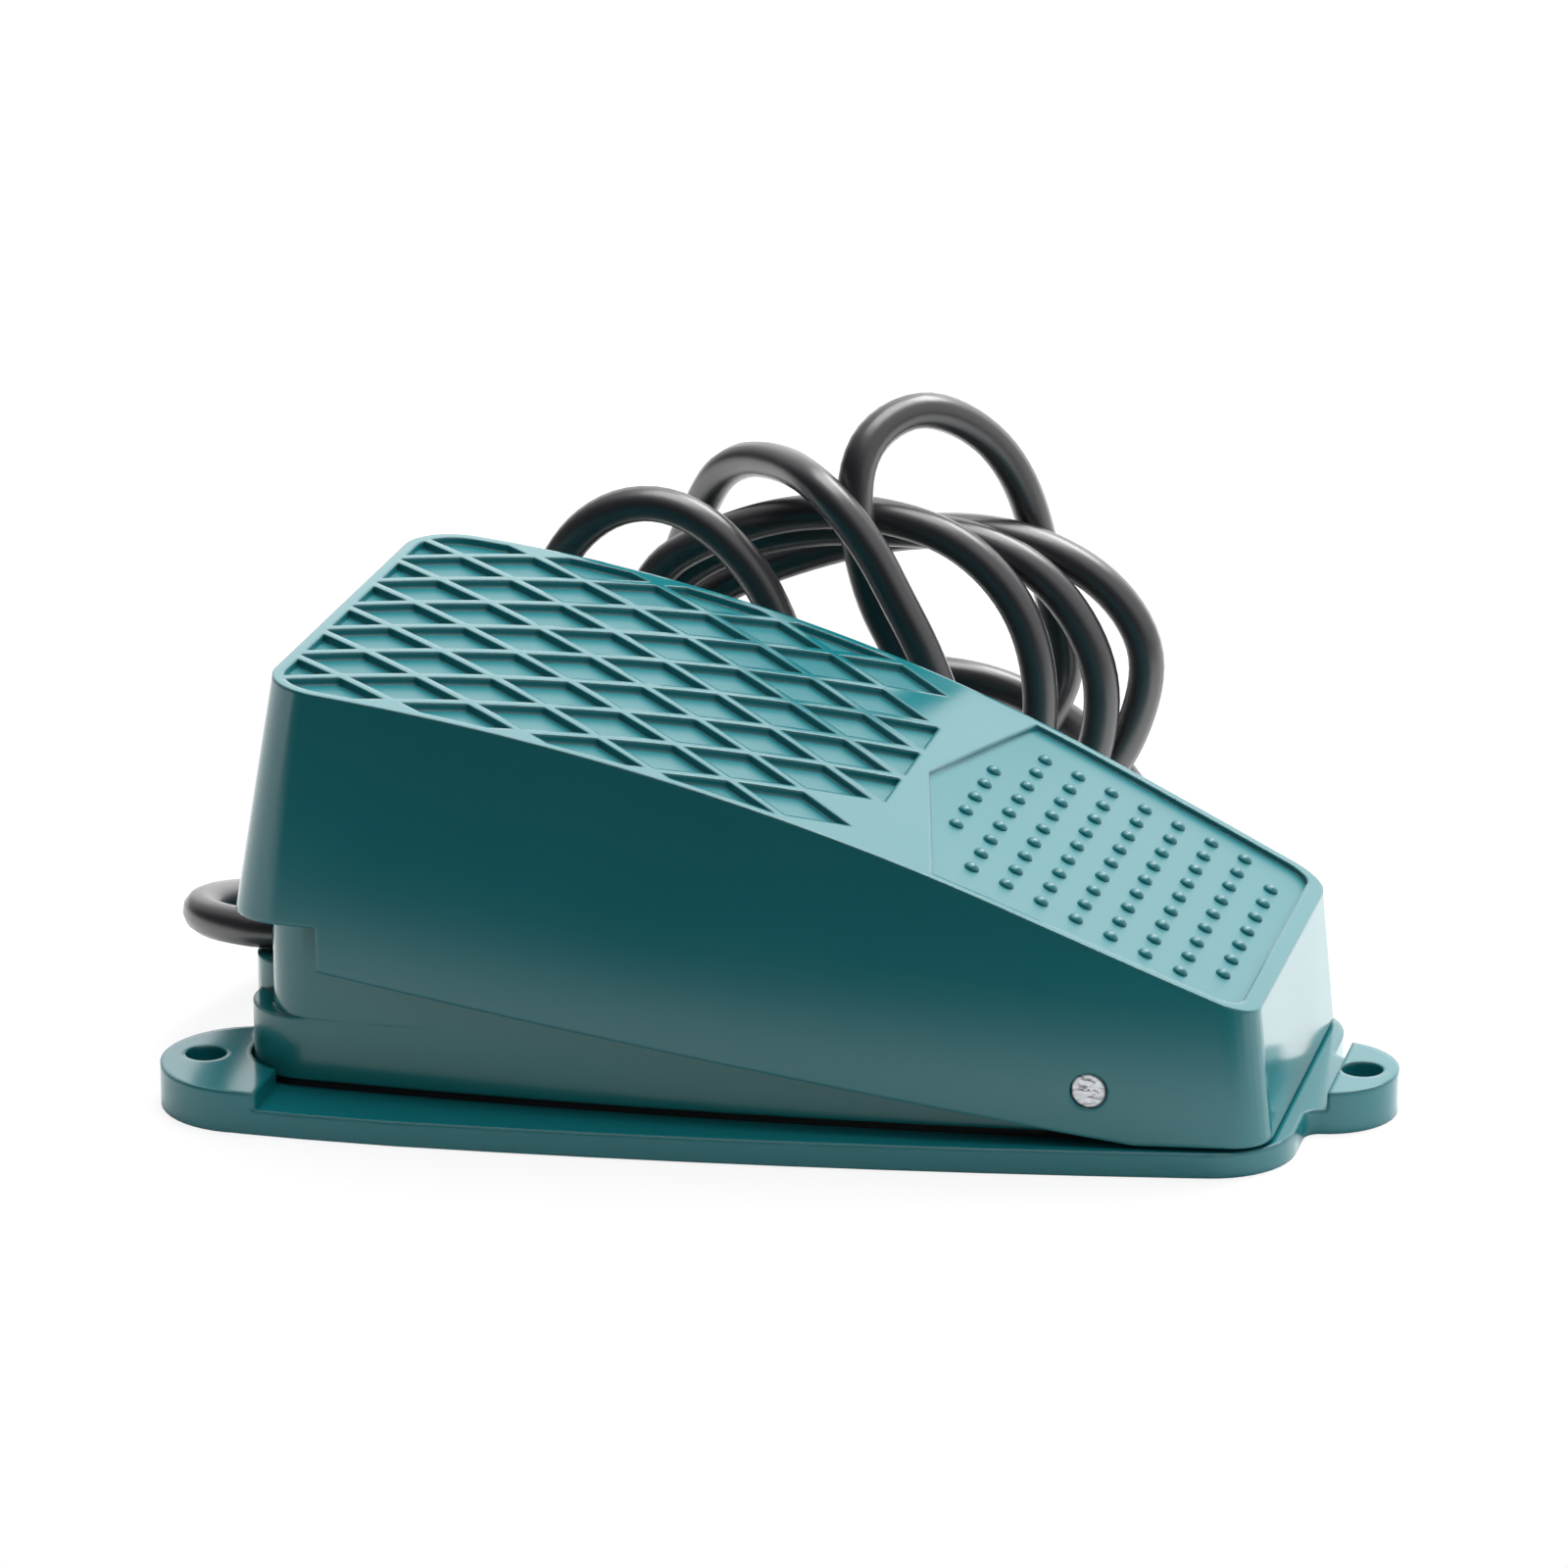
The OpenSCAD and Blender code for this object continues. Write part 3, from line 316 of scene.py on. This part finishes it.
glare.inputs["To Max"].default_value = 1.1
both = tree.nodes.new("ShaderNodeMath")
link(tree, place, "Generated", window, 0)
link(tree, window, "Value", glare, "Value")
link(tree, ramp, "Result", both, 0)
link(tree, glare, "Result", both, 1)
link(tree, both, 0, white, 0)
link(tree, seen, "Is Camera Ray", white, 1)
link(tree, white, 0, sky, "Strength")
sky.inputs["Color"].default_value = (1, 1, 1, 1)


def lamp(name, at, aim, size, power):
    data = bpy.data.lights.new(name, "AREA")
    data.shape = "SQUARE"
    data.size = size
    data.energy = power
    obj = bpy.data.objects.new(name, data)
    at = Vector(at)
    obj.matrix_world = (Matrix.Translation(at)
                        @ (Vector(aim) - at).to_track_quat("-Z", "Y").to_matrix().to_4x4())
    bpy.context.collection.objects.link(obj)


lamp("soft box above", (0.05, 0.15, 1.3), (0, 0, 0.03), 0.9, 14)
lamp("soft box over the sweep", (0.4, 0.75, 1.0), (0.4, 0.75, 0), 0.6, 12)

# Base plate: one moulding in glossy teal plastic, a thin flange with three
# thicker ears for the screws. Its edges look softened, as a mould leaves them.
TEAL = (0.006, 0.140, 0.160, 1)


def eased(node, name, mat, body, edges):
    """A copy of the node, cleaned and shaded flat where it is flat.

    edges gives the bevel wanted on each edge, in mm. The mesh's shortest edges hold it
    back to about 0.02 mm, so the softness of an edge comes from the material's Edge.
    """
    mesh = nodes[node].data.copy()
    bm = bmesh.new()
    bm.from_mesh(mesh)
    bmesh.ops.remove_doubles(bm, verts=bm.verts, dist=1e-5)
    bmesh.ops.dissolve_degenerate(bm, dist=1e-5, edges=bm.edges)
    bmesh.ops.dissolve_limit(bm, angle_limit=math.radians(0.4), verts=bm.verts, edges=bm.edges)
    weight = bm.edges.layers.float.new("bevel_weight_edge")
    most = 0.0015
    steep = math.radians(32)
    for e in bm.edges:
        if len(e.link_faces) == 2 and e.calc_face_angle_signed() > steep:
            middle = (e.verts[0].co + e.verts[1].co) * 500
            e[weight] = min(1, edges(middle, e) / 1000 / most)
    bm.to_mesh(mesh)
    bm.free()
    if "custom_normal" in mesh.attributes:
        mesh.attributes.remove(mesh.attributes["custom_normal"])
    mesh.materials.clear()
    mesh.materials.append(mat)
    obj = bpy.data.objects.new(name, mesh)
    bpy.context.collection.objects.link(obj)
    bevel = obj.modifiers.new("eased edges", "BEVEL")
    bevel.limit_method = "WEIGHT"
    bevel.width = most
    bevel.segments = 3
    bevel.use_clamp_overlap = True
    mesh.shade_smooth()
    mesh.set_sharp_from_angle(angle=steep)
    shade = obj.modifiers.new("even shading", "WEIGHTED_NORMAL")
    shade.keep_sharp = True
    shade.weight = 100
    bpy.context.view_layer.update()
    evaluated = bpy.context.evaluated_depsgraph_get()
    plain = bpy.data.meshes.new_from_object(obj.evaluated_get(evaluated))
    obj.modifiers.clear()
    obj.data = plain
    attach(obj, body)
    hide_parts(node)
    return obj


base_teal = moulded("base teal", TEAL, 0.13, soft_edge=0.0012)
eased("base_plate", "base_plate_moulding", base_teal, "base",
      lambda p, e: 0 if abs(p.z) < 0.1 or abs(p.x + 52) < 9 and p.z > 4.4 else 0.9)

# Rubber seal between the plate and the housing, set back so that a dark line shows all round;
# pressed flat, never glued. Its near-black colour is partly painted shade: the set-back gap is
# shaded, and the black seal stands in for more of that shade.
rubber_and_gap_shade = moulded("seal rubber", (0.012, 0.012, 0.013, 1), 0.65, 0.2)


def finish_of(names, mat):
    for name in names:
        data = nodes[name].data
        data.materials.clear()
        data.materials.append(mat)


# painted shade, in part: the seal's black darkens the gap under the housing wall
finish_of(["base_gasket", "stop_buffers", "cord_grommet", "cord_tie"], rubber_and_gap_shade)

# Housing: the same teal plastic, a closed box with a sloping deck and a
# shoulder at the toe, held to the plate by four screws from below.
housing_teal = moulded("housing teal", (0.010, 0.150, 0.158, 1), 0.14, soft_edge=0.0008)
eased("housing_shell", "switch_housing", housing_teal, "base",
      lambda p, e: 0.8 if e.calc_length() > 0.0004 and p.z > 10 else 0)

# Small hardware: zinc-plated screws, nuts and pin, brass parts, nylon parts
# and the switch's dark case, as they are bought in.
zinc = moulded("zinc plate", (0.55, 0.56, 0.58, 1), 0.34, 0.15, metal=1.0)
brass = moulded("turned brass", (0.62, 0.45, 0.18, 1), 0.27, 0.10, metal=1.0)
nylon = moulded("natural nylon", (0.72, 0.71, 0.66, 1), 0.42, 0.10)
phenolic = moulded("dark switch case", (0.02, 0.02, 0.022, 1), 0.45, 0.15)
button_red = moulded("red button", (0.40, 0.02, 0.02, 1), 0.35, 0.08)
finish_of(["base_screws", "actuator_screw", "lock_nut", "switch_bracket", "bracket_screws",
           "switch_screws", "clamp_screws"], zinc)
finish_of(["plunger_guide", "switch_terminals", "earth_screw"], brass)
finish_of(["plunger", "cord_clamp"], nylon)
finish_of(["switch_case"], phenolic)
finish_of(["switch_button"], button_red)
finish_of(["cord_inner"], pvc)

# Return spring: it stands on the deck and gives way as the pedal comes down. Here it is a fixed
# copy of the part's mesh in zinc, tied to neither body.
spring = bpy.data.objects.new("coil_spring", nodes["return_spring"].data.copy())
bpy.context.collection.objects.link(spring)
spring.data.materials.clear()
spring.data.materials.append(zinc)
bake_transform(spring)
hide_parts("return_spring")

# The three cores: brown, blue and green-yellow insulation. Inside they run to
# the switch and the earth screw, outside their ends are stripped to copper.
for colour, names in (((0.10, 0.035, 0.012, 1), ["wire_live", "core_live"]),
                      ((0.01, 0.05, 0.30, 1), ["wire_neutral", "core_neutral"]),
                      ((0.10, 0.35, 0.02, 1), ["wire_earth", "core_earth"])):
    finish_of(names, moulded("insulation of " + names[0], colour, 0.38, 0.08))

# bare copper past each core's insulation, six fine strands twisted together
STRAND = 0.00016
copper = moulded("copper strands", (0.80, 0.34, 0.18, 1), 0.28, 0.15, metal=1.0)
for name, x, y, lean in (("bare_live", 1, 125, -0.3), ("bare_neutral", 1, 138, -0.05),
                         ("bare_earth", 4, 132.5, 0.1)):
    for k in range(6):
        turns = [(x - 0.6 + 0.5 * i, y + lean * 0.5 * i + 0.3 * math.cos(k + 0.35 * i),
                  1.4 + 0.3 * math.sin(k + 0.35 * i)) for i in range(11)]
        strand = tube(name + "_" + str(k), turns, STRAND, copper, 1)
        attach(strand, "base")

# Pedal: one glossy teal moulding with a crowned tread. Rhombic pockets are
# sunk in the toe half and a dotted panel in the heel half.
SLOPE = math.radians(23.34)
KNEE = (0.04266, 0.04421)
CROWN = (-0.107891, -0.304697, 0.380)


def sunk_group():
    """A mask: how far a place lies below the tread's surface, from 0 on it to 1 in a pocket."""
    group = bpy.data.node_groups.new("sunk in the tread", "ShaderNodeTree")
    group.interface.new_socket("Mask", in_out="OUTPUT", socket_type="NodeSocketFloat")
    n = group.nodes
    where, cut = n.new("ShaderNodeTexCoord"), n.new("ShaderNodeSeparateXYZ")
    end = n.new("NodeGroupOutput")
    link(group, where, "Object", cut, 0)

    def maths(kind, a, b):
        node = n.new("ShaderNodeMath")
        node.operation = kind
        for socket, value in zip(node.inputs, (a, b)):
            if isinstance(value, float):
                socket.default_value = value
            else:
                group.links.new(value, socket)
        return node.outputs[0]

    x, z = cut.outputs["X"], cut.outputs["Z"]
    dx, dz = maths("SUBTRACT", x, CROWN[0]), maths("SUBTRACT", z, CROWN[1])
    radius = maths("POWER", maths("ADD", maths("MULTIPLY", dx, dx), maths("MULTIPLY", dz, dz)), 0.5)
    under_arc = maths("SUBTRACT", CROWN[2], radius)
    along = maths("MULTIPLY", maths("SUBTRACT", x, KNEE[0]), -math.sin(SLOPE))
    across = maths("MULTIPLY", maths("SUBTRACT", z, KNEE[1]), math.cos(SLOPE))
    under_slope = maths("SUBTRACT", along, across)
    past = maths("GREATER_THAN", x, KNEE[0])
    depth = maths("ADD", maths("MULTIPLY", under_slope, past),
                  maths("MULTIPLY", under_arc, maths("SUBTRACT", 1.0, past)))
    mask = n.new("ShaderNodeMapRange")
    mask.interpolation_type = "SMOOTHSTEP"
    mask.inputs["From Min"].default_value = 0.0003
    mask.inputs["From Max"].default_value = 0.0008
    group.links.new(depth, mask.inputs["Value"])
    facing = n.new("ShaderNodeSeparateXYZ")
    link(group, where, "Normal", facing, 0)
    inside = maths("MULTIPLY", maths("LESS_THAN", depth, 0.0030),
                   maths("GREATER_THAN", facing.outputs["Z"], 0.6))
    group.links.new(maths("MULTIPLY", mask.outputs[0], inside), end.inputs["Mask"])
    return group


GLOSS = 0.11
pedal_teal = moulded("pedal teal", TEAL, GLOSS, 0.05, soft_edge=0.0009)
tree = pedal_teal.node_tree
sunk, skin = tree.nodes.new("ShaderNodeGroup"), tree.nodes["Group"]
sunk.node_tree = sunk_group()
matt = tree.nodes.new("ShaderNodeMapRange")
matt.inputs["To Min"].default_value = GLOSS
matt.inputs["To Max"].default_value = 0.34
link(tree, sunk, "Mask", matt, "Value")
link(tree, matt, "Result", skin, "Roughness")
dot_places = []
for c in range(9):
    x = 28.35 + c * 6.25 * math.cos(SLOPE)
    row = 2 if c == 0 else 3 if c == 8 else 4
    dot_places += [(x, 7.07 * j) for j in range(-row, row + 1)]


def pedal_edge(p, e):
    half = 44.25 - 0.072 * p.x - 0.000565 * p.x * p.x
    outside = abs(p.y) > half - 0.6 or p.x < -79.6 or p.x > 79
    upward = e.link_faces[0].normal.z + e.link_faces[1].normal.z
    return 1.2 if outside and p.z > 24 and upward > 0.6 else 0


eased("pedal_shell", "pedal_moulding", pedal_teal, "pedal", pedal_edge)


# Grip dots of the heel panel: low domes moulded with the pedal, in nine rows
# across the slope, five in the first, nine in the middle ones, seven in the last.
def dot_tree(material):
    """Puts one dome on each point of the mesh, turned to the slope."""
    tree = bpy.data.node_groups.new("grip dots", "GeometryNodeTree")
    face = tree.interface
    face.new_socket("Places", in_out="INPUT", socket_type="NodeSocketGeometry")
    for name, value in (("Radius", 0.0013), ("Height", 0.00102), ("Slope", SLOPE)):
        face.new_socket(name, in_out="INPUT", socket_type="NodeSocketFloat").default_value = value
    face.new_socket("Dots", in_out="OUTPUT", socket_type="NodeSocketGeometry")
    n = tree.nodes
    begin, end = n.new("NodeGroupInput"), n.new("NodeGroupOutput")
    ball = n.new("GeometryNodeMeshUVSphere")
    ball.inputs["Segments"].default_value = 20
    ball.inputs["Rings"].default_value = 12
    size, turn = n.new("ShaderNodeCombineXYZ"), n.new("ShaderNodeCombineXYZ")
    copies = n.new("GeometryNodeInstanceOnPoints")
    real = n.new("GeometryNodeRealizeInstances")
    soft = n.new("GeometryNodeSetShadeSmooth")
    finish = n.new("GeometryNodeSetMaterial")
    finish.inputs["Material"].default_value = material
    link(tree, begin, "Places", copies, "Points")
    link(tree, ball, "Mesh", copies, "Instance")
    link(tree, begin, "Radius", size, "X")
    link(tree, begin, "Radius", size, "Y")
    link(tree, begin, "Height", size, "Z")
    link(tree, begin, "Slope", turn, "Y")
    link(tree, size, 0, copies, "Scale")
    link(tree, turn, 0, copies, "Rotation")
    link(tree, copies, 0, real, 0)
    link(tree, real, 0, soft, 0)
    link(tree, soft, 0, finish, 0)
    link(tree, finish, 0, end, 0)
    return tree


def on_panel(x):
    """Height of the panel's floor at x, in millimetres: the crown's arc, then the slope."""
    if x < 42.27:
        return math.sqrt(379 ** 2 - (x + 107.891) ** 2) - 304.697
    return 43.118 - (x - 42.66) * math.tan(SLOPE)


places = bpy.data.meshes.new("dot places")
places.from_pydata([(x / 1000, y / 1000, on_panel(x) / 1000) for x, y in dot_places], [], [])
dots = bpy.data.objects.new("grip_dots", places)
bpy.context.collection.objects.link(dots)
make = dots.modifiers.new("grip dots", "NODES")
make.node_group = dot_tree(pedal_teal)
bpy.context.view_layer.update()
plain = bpy.data.meshes.new_from_object(dots.evaluated_get(bpy.context.evaluated_depsgraph_get()))
dots.modifiers.clear()
dots.data = plain
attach(dots, "pedal")

# Hinge pin: a length of zinc-plated rod, cropped and pressed into the pedal's sides, with a rough
# end. The rim of its end is painted shade: a dark teal ring for the shade of the recess the end
# sits in.
pin_mat = moulded("cropped pin end", (0.66, 0.67, 0.70, 1), 0.34, 0.15, metal=1.0)
tree = pin_mat.node_tree
bsdf, skin = tree.nodes["Principled BSDF"], tree.nodes["Group"]
where, rough = tree.nodes.new("ShaderNodeTexCoord"), tree.nodes.new("ShaderNodeTexNoise")
rough.inputs["Scale"].default_value = 520
rough.inputs["Detail"].default_value = 3
bump = tree.nodes.new("ShaderNodeBump")
bump.inputs["Strength"].default_value = 1.0
bump.inputs["Distance"].default_value = 0.0007
# painted shade: the colour goes dark teal at the rim of the pin's end
centre, rim_shade = tree.nodes.new("ShaderNodeVectorMath"), tree.nodes.new("ShaderNodeMapRange")
centre.operation = "DISTANCE"
flat = tree.nodes.new("ShaderNodeVectorMath")
flat.operation = "MULTIPLY"
flat.inputs[1].default_value = (1, 0, 1)
centre.inputs[1].default_value = (0.0558, 0, 0.0140)
rim_shade.interpolation_type = "SMOOTHSTEP"
rim_shade.inputs["From Min"].default_value = 0.0024
rim_shade.inputs["From Max"].default_value = 0.0029
shade = tree.nodes.new("ShaderNodeMix")
shade.data_type = "RGBA"
shade.inputs["B"].default_value = (0.03, 0.05, 0.055, 1)
link(tree, where, "Object", rough, "Vector")
link(tree, rough, 0, bump, "Height")
link(tree, bump, 0, bsdf, "Normal")
link(tree, where, "Object", flat, 0)
link(tree, flat, 0, centre, 0)
link(tree, centre, "Value", rim_shade, "Value")
link(tree, rim_shade, "Result", shade, "Factor")
tree.links.new(skin.outputs["Colour"], shade.inputs["A"])
tree.links.new(shade.outputs["Result"], bsdf.inputs["Base Color"])
finish_of(["hinge_pin"], pin_mat)

bpy.context.view_layer.update()
